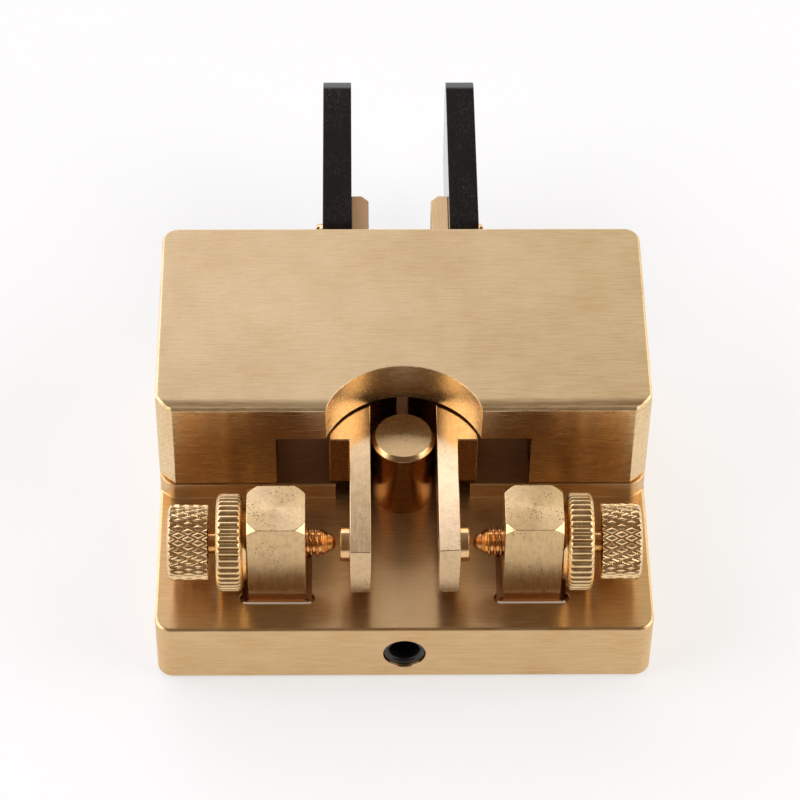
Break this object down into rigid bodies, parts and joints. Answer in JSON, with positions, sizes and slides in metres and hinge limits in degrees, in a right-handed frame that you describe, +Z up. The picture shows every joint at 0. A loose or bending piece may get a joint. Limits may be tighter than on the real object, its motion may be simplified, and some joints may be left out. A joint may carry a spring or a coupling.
{
  "type": "paddle telegraph key",
  "caption": "Brass paddle key: squeezing a black paddle swings its lever on an upright pin until the lever's stud meets an adjustable contact point.",
  "frame": {"origin": "middle of the base's footprint, on the surface that the rubber feet stand on", "axes": "+Z up; +Y from the cable socket towards the paddles; +X to the right seen from the socket side"},
  "size_m": [0.0602, 0.082, 0.0264],
  "materials": {
    "brass": "finely brushed",
    "dull_brass": "turned, lightly aged",
    "steel": "plated",
    "black_plate": "polished faces, sawn edges",
    "white_insulator": "translucent",
    "contact_metal": "bright",
    "socket_plastic": "moulded",
    "foot_rubber": "matt",
    "wire_red": "insulation",
    "wire_white": "insulation",
    "wire_green": "insulation"
  },
  "bodies": {
    "frame_body": {"base": "brass", "bottom_plate": "dull_brass", "plate_screws": "steel", "rubber_feet": "foot_rubber", "rubber_pad": "foot_rubber", "cover_block": "brass", "cover_screws": "steel", "stop_post": "dull_brass", "stop_post_screw": "steel", "socket_body": "socket_plastic", "socket_springs": "contact_metal", "socket_sleeve": "contact_metal", "ground_lug": "contact_metal", "ground_screw": "steel", "wire_ground": "wire_green", "pivot_pin_left": "steel", "contact_post_left": "brass", "post_pad_left": "white_insulator", "post_sleeve_left": "white_insulator", "post_screw_left": "steel", "post_lug_left": "contact_metal", "wire_left": "wire_red", "pivot_pin_right": "steel", "contact_post_right": "brass", "post_pad_right": "white_insulator", "post_sleeve_right": "white_insulator", "post_screw_right": "steel", "post_lug_right": "contact_metal", "wire_right": "wire_white"},
    "left_lever": {"lever_left": "brass", "pivot_bush_left": "dull_brass", "contact_stud_left": "brass", "return_magnet_left": "steel", "paddle_left": "black_plate", "paddle_screws_left": "brass"},
    "left_point": {"contact_point_left": "contact_metal"},
    "left_screw": {"contact_screw_left": "brass"},
    "left_nut": {"lock_nut_left": "brass"},
    "right_lever": {"lever_right": "brass", "pivot_bush_right": "dull_brass", "contact_stud_right": "brass", "return_magnet_right": "steel", "paddle_right": "black_plate", "paddle_screws_right": "brass"},
    "right_point": {"contact_point_right": "contact_metal"},
    "right_screw": {"contact_screw_right": "brass"},
    "right_nut": {"lock_nut_right": "brass"}
  },
  "joints": [
    {"name": "left_lever_swing", "type": "hinge", "parent": "frame_body", "child": "left_lever", "pos_m": [-0.00532, 0.0115, 0.0163], "axis": [0, 0, -1], "range_deg": [0, 0.9], "stiffness_Nm_per_rad": 0.04, "springref_deg": -11.46},
    {"name": "left_point_advance", "type": "slide", "parent": "frame_body", "child": "left_point", "axis": [-1, 0, 0], "range_m": [-0.00044, 0.001]},
    {"name": "left_screw_turn", "type": "hinge", "parent": "left_point", "child": "left_screw", "pos_m": [-0.026, -0.017, 0.0159], "axis": [-1, 0, 0], "range_deg": [-230, 516]},
    {"name": "left_nut_turn", "type": "hinge", "parent": "frame_body", "child": "left_nut", "pos_m": [-0.021, -0.017, 0.0159], "axis": [-1, 0, 0], "range_deg": [0, 120]},
    {"name": "right_lever_swing", "type": "hinge", "parent": "frame_body", "child": "right_lever", "pos_m": [0.00532, 0.0115, 0.0163], "axis": [0, 0, 1], "range_deg": [0, 0.9], "stiffness_Nm_per_rad": 0.04, "springref_deg": -11.46},
    {"name": "right_point_advance", "type": "slide", "parent": "frame_body", "child": "right_point", "axis": [1, 0, 0], "range_m": [-0.00044, 0.001]},
    {"name": "right_screw_turn", "type": "hinge", "parent": "right_point", "child": "right_screw", "pos_m": [0.026, -0.017, 0.0159], "axis": [1, 0, 0], "range_deg": [-230, 516]},
    {"name": "right_nut_turn", "type": "hinge", "parent": "frame_body", "child": "right_nut", "pos_m": [0.021, -0.017, 0.0159], "axis": [1, 0, 0], "range_deg": [0, 120]}
  ],
  "couplings": [
    {"joint": "left_screw_turn", "follows": "left_point_advance", "rad_per_m": 8976},
    {"joint": "right_screw_turn", "follows": "right_point_advance", "rad_per_m": 8976}
  ]
}
